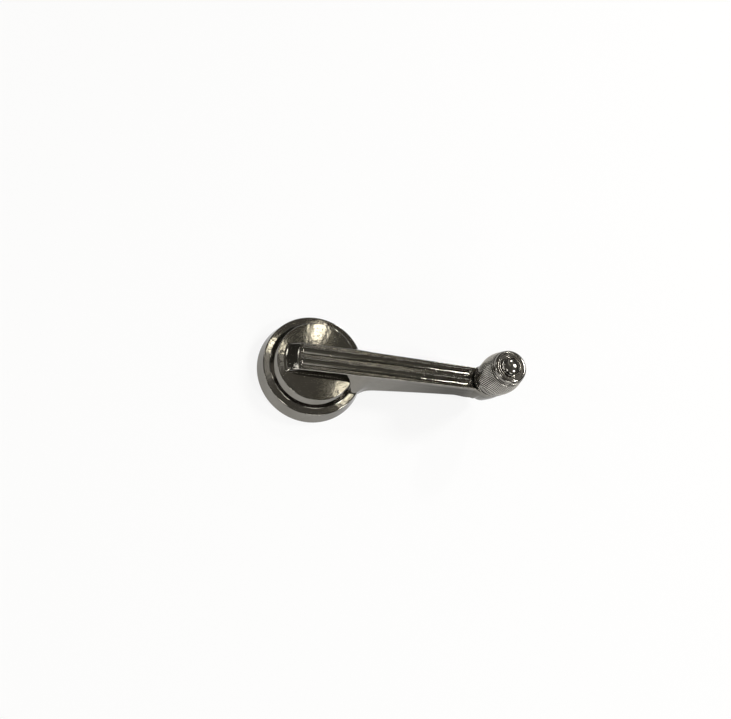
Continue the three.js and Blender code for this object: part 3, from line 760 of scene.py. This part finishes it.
def hub_piece():
    draft = CROWN_DRAFT_DEGREES
    slope = math.radians(draft)
    fillet_height = TIER_HEIGHT + CROWN_FOOT_FILLET
    foot = arc(CROWN_FOOT_RADIUS, fillet_height, CROWN_FOOT_FILLET, 270, 180 + draft)
    foot_radius, foot_height = foot[-1]
    edge_height = CROWN_HEIGHT - CROWN_EDGE
    wall_top = edge_height + CROWN_EDGE * math.sin(slope)
    wall_top_radius = foot_radius - (wall_top - foot_height) * math.tan(slope)
    edge_radius = wall_top_radius - CROWN_EDGE * math.cos(slope)
    profile = [
        (0, 0),
        (HUB_RADIUS, 0),
        *arc(TIER_RADIUS - TIER_EDGE, TIER_HEIGHT - TIER_EDGE, TIER_EDGE, 0, 90),
        *foot,
        *arc(edge_radius, edge_height, CROWN_EDGE, draft, 90),
        (0, CROWN_HEIGHT),
    ]
    return turned("hub", profile, 0, HUB_STEPS)


def boss_piece():
    low = BOSS_FOOT_HEIGHT + BOSS_FOOT_ROUND
    high = BOSS_SHOULDER_HEIGHT - BOSS_EDGE
    groove_floor = BOSS_SHOULDER_HEIGHT - BOSS_GROOVE_DEPTH
    seat_edge = BOSS_SEAT_HEIGHT - BOSS_SEAT_EDGE
    profile = [
        (0, BOSS_FOOT_HEIGHT),
        *arc(boss_radius(low) - BOSS_FOOT_ROUND, low, BOSS_FOOT_ROUND, -90, 0, SMALL_STEPS),
        *[(boss_radius(z), z) for z in spaced(low, high, WALL_STEPS)[1:]],
        *arc(BOSS_RADIUS - BOSS_EDGE, high, BOSS_EDGE, 0, 90, SMALL_STEPS)[1:],
        (BOSS_GROOVE_RADIUS, BOSS_SHOULDER_HEIGHT),
        (BOSS_GROOVE_RADIUS - BOSS_GROOVE_DRAFT, groove_floor),
        (BOSS_SEAT_RADIUS + BOSS_SEAT_DRAFT, groove_floor),
        *arc(BOSS_SEAT_RADIUS - BOSS_SEAT_EDGE, seat_edge, BOSS_SEAT_EDGE, 0, 90, SMALL_STEPS),
        (0, BOSS_SEAT_HEIGHT),
    ]
    return turned("boss", profile, KNOB_X)


def ribbed_pockets():
    """The pockets of the hub's back, with the ribs left between them."""
    pockets = turned(
        "pockets",
        [
            (SOCKET_BOSS_RADIUS, -CUT_MARGIN),
            (POCKET_OUTER_RADIUS, -CUT_MARGIN),
            (POCKET_OUTER_RADIUS, POCKET_STEP_ROOF),
            (POCKET_STEP_RADIUS, POCKET_STEP_ROOF),
            (POCKET_STEP_RADIUS, POCKET_ROOF),
            (SOCKET_BOSS_RADIUS, POCKET_ROOF),
        ],
    )
    half = RIB_THICKNESS / 2
    far = (POCKET_OUTER_RADIUS + CUT_MARGIN, half, POCKET_ROOF + CUT_MARGIN)
    ribs = []
    for i in range(RIB_COUNT):
        rib = block(f"rib_{i}", (0, -half, RIB_SETBACK), far)
        rib.data.transform(Matrix.Rotation(2 * math.pi * (i + 0.5) / RIB_COUNT, 4, "Z"))
        ribs.append(rib)
    return combined(pockets, "DIFFERENCE", ribs)


def socket_cutters():
    """The blind socket, the setback of its boss and the slots for the clip's legs."""
    shoulder = SOCKET_DEPTH - SOCKET_SHOULDER
    socket = turned(
        "socket",
        [
            (0, -CUT_MARGIN),
            (SOCKET_RADIUS, -CUT_MARGIN),
            (SOCKET_RADIUS, shoulder),
            (SOCKET_FLOOR_RADIUS, shoulder),
            (SOCKET_FLOOR_RADIUS, SOCKET_DEPTH),
            (0, SOCKET_DEPTH),
        ],
    )
    wide = SOCKET_BOSS_RADIUS + CUT_MARGIN
    setback = turned(
        "setback",
        [
            (0, -CUT_MARGIN),
            (wide, -CUT_MARGIN),
            (wide, SOCKET_BOSS_SETBACK),
            (0, SOCKET_BOSS_SETBACK),
        ],
    )
    slots = []
    for side in (-1, 1):
        y = side * CLIP_LEG_SPACING / 2
        low = (-wide, y - CLIP_SLOT_HALF, CLIP_HEIGHT - CLIP_SLOT_HALF)
        high = (wide, y + CLIP_SLOT_HALF, CLIP_HEIGHT + CLIP_SLOT_HALF)
        slots.append(block(f"slot{side}", low, high))
    return [socket, setback, *slots]


def counterbore_cutter():
    """The counterbore for the pin's tail, with the pin's hole above it."""
    return turned(
        "counterbore",
        [
            (0, 0),
            (COUNTERBORE_RADIUS, 0),
            (COUNTERBORE_RADIUS, COUNTERBORE_ROOF),
            (PIN_HOLE_RADIUS, COUNTERBORE_ROOF),
            (PIN_HOLE_RADIUS, BOSS_SEAT_HEIGHT + CUT_MARGIN),
            (0, BOSS_SEAT_HEIGHT + CUT_MARGIN),
        ],
        KNOB_X,
    )


def channel_cutter():
    """The channel that cores the arm from below."""

    def section(x):
        half = arm_half_width(x) - CHANNEL_WALL
        roof = arm_top(x) - CHANNEL_ROOF
        corner = arc(half - CHANNEL_CORNER, roof - CHANNEL_CORNER, CHANNEL_CORNER, 0, 90, CORNER_STEPS)
        right = [(half + CHANNEL_DRAFT, -CUT_MARGIN), *corner]
        return right + [(-y, z) for y, z in reversed(right)]

    places = spaced(CHANNEL_START_X, CHANNEL_END_X, CHANNEL_STEPS)
    return lofted("channel", [(x, section(x)) for x in places])


def handle_casting(material):
    casting = hub_piece()
    combined(casting, "UNION", [arm_piece(), boss_piece()])
    cutters = [ribbed_pockets(), *socket_cutters(), counterbore_cutter(), channel_cutter()]
    combined(casting, "DIFFERENCE", cutters)
    casting.name = "plated_casting"
    finished(smoothed(casting), material, "handle", "handle_casting")


# Knob
def barrel_radius(height):
    share = height / (BARREL_HIGH - BARREL_LOW)
    taper = lerp(BARREL_FOOT_RADIUS, BARREL_TOP_RADIUS, share)
    return taper + BARREL_BULGE * math.sin(math.pi * share)


def knurl_tree(material):
    """Geometry Nodes: one rolled tooth, set round the barrel as many times as asked."""
    tree = bpy.data.node_groups.new("rolled_knurl", "GeometryNodeTree")
    socket = tree.interface.new_socket
    socket("Tooth", in_out="INPUT", socket_type="NodeSocketGeometry")
    count = socket("Count", in_out="INPUT", socket_type="NodeSocketInt")
    axis = socket("Axis place", in_out="INPUT", socket_type="NodeSocketVector")
    socket("Knurl", in_out="OUTPUT", socket_type="NodeSocketGeometry")
    graph = Graph(tree)
    tooth, number, place = (
        graph.node("NodeGroupInput", output=name) for name in ("Tooth", "Count", "Axis place")
    )
    points = graph.node("GeometryNodePoints", inputs={"Count": number, "Position": place})
    turn = graph.node("GeometryNodeInputIndex") / number * (2 * math.pi)
    spin = graph.node("ShaderNodeCombineXYZ", inputs={"Z": turn})
    ring = graph.node(
        "GeometryNodeInstanceOnPoints",
        inputs={"Points": points, "Instance": tooth, "Rotation": spin},
    )
    real = graph.node("GeometryNodeRealizeInstances", inputs={"Geometry": ring})
    painted = graph.node("GeometryNodeSetMaterial", inputs={"Geometry": real, "Material": material})
    graph.node("NodeGroupOutput", inputs={"Knurl": painted})
    return tree, count.identifier, axis.identifier


def tooth_section(z, crest):
    """A tooth's outline at a height up the barrel, as radius and angle."""
    root = barrel_radius(z) - KNURL_DEPTH
    half_pitch = math.pi / KNURL_COUNT * KNURL_FILL
    right = [(root - KNURL_ROOT_DEPTH, 1), (root, 1), (root + crest, KNURL_CREST_SHARE)]
    outline = [(r, -side) for r, side in right] + right[::-1]
    return [(r, side * half_pitch) for r, side in outline]


def knurl_tooth():
    """One tooth about the origin's axis: a cross-cut ridge that follows the barrel and runs out."""
    height = BARREL_HIGH - BARREL_LOW
    points = []
    cuts = spaced(0, 1, 2 * KNURL_CROSS_CUTS)
    for i, share in enumerate(cuts):
        z = lerp(KNURL_MARGIN, height - KNURL_MARGIN, share)
        run_out = min(share, 1 - share) * height / KNURL_RUN_OUT
        crest = KNURL_DEPTH * min(run_out, 1) * (1 if i % 2 else KNURL_CUT_CREST)
        section = tooth_section(z, crest)
        points += [(r * math.cos(a), r * math.sin(a), BARREL_LOW + z) for r, a in section]
    faces = skin_faces(len(cuts), len(section))
    tooth = mesh_object("knurled_grip", points, faces)
    rise = tooth.data.attributes.new(TOOTH_HEIGHT, "FLOAT", "POINT")
    for vertex, value in zip(tooth.data.vertices, rise.data):
        place = vertex.co / MM
        root = barrel_radius(place.z - BACK_Z - BARREL_LOW) - KNURL_DEPTH
        value.value = (math.hypot(place.x, place.y) - root) / KNURL_DEPTH
    return tooth


def knurled_barrel(material):
    """The drawn tube and the ring of rolled teeth on it."""
    height = BARREL_HIGH - BARREL_LOW
    profile = []
    for h in spaced(0, height, BARREL_STEPS):
        plain = h < KNURL_MARGIN or h > height - KNURL_MARGIN
        depth = KNURL_DEPTH * (KNURL_MARGIN_SHARE if plain else 1)
        profile.append((barrel_radius(h) - depth, BARREL_LOW + h))
    for h in spaced(height, 0, BARREL_STEPS // 2):
        profile.append((barrel_radius(h) - BARREL_WALL, BARREL_LOW + h))
    tube = smoothed(turned("barrel_tube", profile, KNOB_X))
    finished(tube, material, "knob", "knurled_barrel")
    teeth = knurl_tooth()
    tree, count, axis = knurl_tree(material)
    roll = teeth.modifiers.new("knurl", "NODES")
    roll.node_group = tree
    roll[count] = KNURL_COUNT
    roll[axis] = (KNOB_X * MM, 0.0, 0.0)
    teeth = smoothed(baked(teeth), TOOTH_SMOOTH_ANGLE_DEGREES)
    finished(teeth, material, "knob", "knurled_barrel")


def base_ring(material):
    edge = BASE_RING_EDGE
    top_edge = BASE_RING_TOP_EDGE
    high = BASE_RING_LOW + BASE_RING_HEIGHT
    profile = [
        (BASE_RING_BORE, BASE_RING_LOW),
        *arc(BASE_RING_FOOT_RADIUS - edge, BASE_RING_LOW + edge, edge, -90, 0, SMALL_STEPS),
        *arc(BASE_RING_RADIUS - top_edge, high - top_edge, top_edge, 0, 90, FINE_STEPS),
        (BASE_RING_BORE, high),
    ]
    ring = smoothed(turned("base_ring", profile, KNOB_X))
    finished(ring, material, "knob", "knob_base_ring")


def bead(material):
    bore = BARREL_TOP_RADIUS - BARREL_WALL + BEAD_SETBACK
    half = BEAD_HEIGHT / 2
    profile = [
        (bore, BEAD_LOW),
        *arc(BEAD_RADIUS - half, BEAD_LOW + half, half, -90, 90, BEAD_STEPS),
        (bore, BEAD_LOW + BEAD_HEIGHT),
    ]
    ring = smoothed(turned("bead", profile, KNOB_X))
    finished(ring, material, "knob", "bead_ring")


def cap(material):
    """The cap's face steps from a rounded rim to a flat, a groove and a raised lip."""
    foot = CAP_LOW + CAP_SPIGOT
    face = foot + CAP_WALL_HEIGHT + CAP_EDGE_RADIUS
    flat = face - CAP_STEP
    groove = flat - CAP_GROOVE_DEPTH
    lip_top = groove + CAP_LIP_HEIGHT
    floor = lip_top - HEAD_RECESS_DEPTH
    lip = (CAP_LIP_OUTER_RADIUS - CAP_LIP_RADIUS) / 2
    step_radius = CAP_RIM_INNER_RADIUS + CAP_STEP * CAP_STEP_SLOPE
    profile = [
        (CAP_BORE, CAP_LOW),
        (CAP_SPIGOT_RADIUS, CAP_LOW),
        (CAP_SPIGOT_RADIUS, foot),
        (CAP_RADIUS, foot),
        *arc(CAP_RADIUS - CAP_EDGE_RADIUS, foot + CAP_WALL_HEIGHT, CAP_EDGE_RADIUS, 0, 90),
        *arc(step_radius, face - CAP_RIM_EDGE, CAP_RIM_EDGE, 90, 170, FINE_STEPS),
        (CAP_RIM_INNER_RADIUS, flat),
        (CAP_FLAT_INNER_RADIUS + CAP_FLAT_EDGE, flat),
        *arc(CAP_FLAT_INNER_RADIUS, flat - CAP_FLAT_EDGE, CAP_FLAT_EDGE, 90, 180, FINE_STEPS),
        (CAP_FLAT_INNER_RADIUS - CAP_GROOVE_DRAFT, groove),
        (CAP_LIP_OUTER_RADIUS, groove),
        *arc(CAP_LIP_RADIUS + lip, lip_top - lip, lip, 0, 180, EDGE_STEPS),
        (CAP_LIP_RADIUS, floor),
        (CAP_BORE, floor),
    ]
    finished(smoothed(turned("cap", profile, KNOB_X)), material, "knob", "knob_cap")


def pivot_pin(material):
    """The pin: its riveted tail, its neck in the boss, its running shank and its domed head."""
    head_foot = PIN_HIGH - HEAD_DOME_HEIGHT - HEAD_EDGE
    dome_foot = head_foot + HEAD_EDGE
    seat = BOSS_SEAT_HEIGHT + SEAT_GAP
    tail_top = COUNTERBORE_ROOF - TAIL_WASHER_THICKNESS
    tail_low = tail_top - TAIL_HEIGHT
    dome = []
    for angle in spaced(0, math.pi / 2, DOME_STEPS)[:-1]:
        height = HEAD_DOME_HEIGHT * math.sin(angle)
        dome.append((HEAD_RADIUS * math.cos(angle), dome_foot + height))
    profile = [
        (0, tail_low),
        *arc(TAIL_FLAT_RADIUS, tail_low + TAIL_ROUND, TAIL_ROUND, -90, 0, SMALL_STEPS),
        (TAIL_RADIUS, tail_top),
        (NECK_RADIUS, tail_top),
        (NECK_RADIUS, seat),
        (SHANK_RADIUS, seat),
        (SHANK_RADIUS, head_foot),
        (HEAD_RADIUS - HEAD_CHAMFER, head_foot),
        (HEAD_RADIUS, head_foot + HEAD_CHAMFER),
        *dome,
        (0, PIN_HIGH),
    ]
    pin = smoothed(turned("pin", profile, KNOB_X))
    finished(pin, material, "handle", "pivot_pin")


def paint_nodes(materials):
    """Gives the hidden pieces of the frame their finish."""
    for node, material in materials.items():
        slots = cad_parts[node].data.materials
        slots.clear()
        slots.append(material)


# Floor, room, lamps and camera
def paper_floor():
    """A white floor that keeps a faint shadow."""
    reach = FLOOR_REACH_METRES
    floor_z = (BACK_Z - FLOOR_GAP) * MM
    mesh = bpy.data.meshes.new("floor")
    signs = [(-1, -1), (1, -1), (1, 1), (-1, 1)]
    corners = [(x * reach, y * reach, floor_z) for x, y in signs]
    mesh.from_pydata(corners, [], [(0, 1, 2, 3)])
    floor = bpy.data.objects.new("floor", mesh)
    bpy.context.scene.collection.objects.link(floor)
    finish = new_finish("pale_floor")
    finish.set(Base_Color=PAPER, Roughness=1.0, Specular_IOR_Level=0.0)
    seen = finish.node("ShaderNodeLightPath", output="Is Camera Ray")
    for ray in ("Is Glossy Ray", "Is Transmission Ray"):
        seen = seen + finish.node("ShaderNodeLightPath", output=ray)
    glow = finish.node("ShaderNodeEmission", inputs={"Color": PAPER, "Strength": 1.0})
    paper = Value(finish, finish.shader.outputs[0])
    shown = finish.node("ShaderNodeMixShader", inputs={"Fac": seen * FLOOR_GLOW, 1: paper, 2: glow})
    finish.feed(finish.tree.nodes["Material Output"].inputs["Surface"], shown)
    mesh.materials.append(finish.owner)


def dim_room():
    """A dim room that is lighter overhead."""
    world = bpy.data.worlds.new("dim_room")
    bpy.context.scene.world = world
    room = Finish(world, "Background")
    way = room.node("ShaderNodeTexCoord", output="Generated")
    rise = room.node("ShaderNodeSeparateXYZ", inputs={"Vector": way}, output="Z")
    room.set(Color=room.ramp(rise, [(0.0, ROOM_LOW), (1.0, ROOM_HIGH)]))


def lamp(name, colour, azimuth, elevation, distance, width, length, share):
    """An oval lamp whose power gives its share of the light at which white paper renders white."""
    data = bpy.data.lights.new(name, "AREA")
    data.shape = "ELLIPSE"
    data.size = width
    data.size_y = length
    data.color = colour
    turn, rise = math.radians(azimuth), math.radians(elevation)
    data.energy = share * math.pi**2 * distance**2 / math.sin(rise)
    level = math.cos(rise)
    away = Vector((level * math.cos(turn), level * math.sin(turn), math.sin(rise)))
    made = bpy.data.objects.new(name, data)
    made.location = Vector(LAMP_AIM) + away * distance
    made.rotation_mode = "QUATERNION"
    made.rotation_quaternion = (-away).to_track_quat("-Z", "Y")
    bpy.context.scene.collection.objects.link(made)


def camera():
    """The camera from the photo's side, with its place taken above the hub's back."""
    data = bpy.data.cameras.new("camera")
    data.sensor_width = SENSOR_WIDTH
    data.lens = PHOTO_FOCAL_PIXELS * SENSOR_WIDTH / PHOTO_WIDTH_PIXELS
    data.clip_start = CAMERA_NEAR_METRES
    data.clip_end = CAMERA_FAR_METRES
    made = bpy.data.objects.new("camera", data)
    place = Vector(CAMERA_PLACE) + Vector((0, 0, BACK_Z))
    target = Vector(CAMERA_TARGET) + Vector((0, 0, BACK_Z))
    look = (target - place).to_track_quat("-Z", "Y").to_matrix()
    roll = Matrix.Rotation(math.radians(CAMERA_ROLL_DEGREES), 3, "Z")
    made.matrix_world = Matrix.Translation(place * MM) @ (look @ roll).to_4x4()
    bpy.context.scene.collection.objects.link(made)
    bpy.context.scene.camera = made


camera()
bpy.context.scene.view_settings.view_transform = "Standard"
paper_floor()
dim_room()
for name, setting in WARM_SPOTS.items():
    lamp(name, SPOT_COLOUR, *setting)
for name, setting in SOFT_LAMPS.items():
    lamp(name, LAMP_COLOUR, *setting)

plate = plated(
    "chrome_plate_casting",
    tint=(0.25, 0.239, 0.215),
    shade=(0.17, 0.159, 0.136),
    edge_radius=0.3,
    arm=True,
)
trim = plated(
    "chrome_plate_trim",
    tint=(0.26, 0.248, 0.224),
    shade=(0.19, 0.179, 0.158),
    edge_radius=0.12,
    roughness=0.11,
    wear=0.2,
)
# Painted highlight: the knurl's plate is much lighter than the rest of the same chrome, so that its
# teeth read as bright stripes.
knurl = plated(
    "chrome_plate_knurl",
    tint=(0.85, 0.82, 0.75),
    shade=(0.66, 0.62, 0.55),
    edge_radius=0.04,
    roughness=0.08,
    wear=0.2,
    knurl=True,
)
steel = bare_metal("zinc_plated_steel", (0.5, 0.5, 0.5), (0.34, 0.34, 0.33), roughness=0.35)
spring = bare_metal("oiled_spring_steel", (0.16, 0.165, 0.18), (0.07, 0.07, 0.075), roughness=0.4)
brass = bare_metal("turned_brass", (0.62, 0.46, 0.2), (0.42, 0.3, 0.12), roughness=0.3)
phenolic = moulded("phenolic_moulding", (0.012, 0.01, 0.009), roughness=0.45)

handle_casting(plate)
knurled_barrel(knurl)
base_ring(trim)
bead(trim)
cap(trim)
pivot_pin(trim)
paint_nodes({
    "spline_sleeve": steel,
    "retaining_clip": spring,
    "tail_washer": steel,
    "thrust_washer": brass,
    "wave_washer": spring,
    "knob_bush": brass,
    "knob_core": phenolic,
    "head_washer": steel,
})
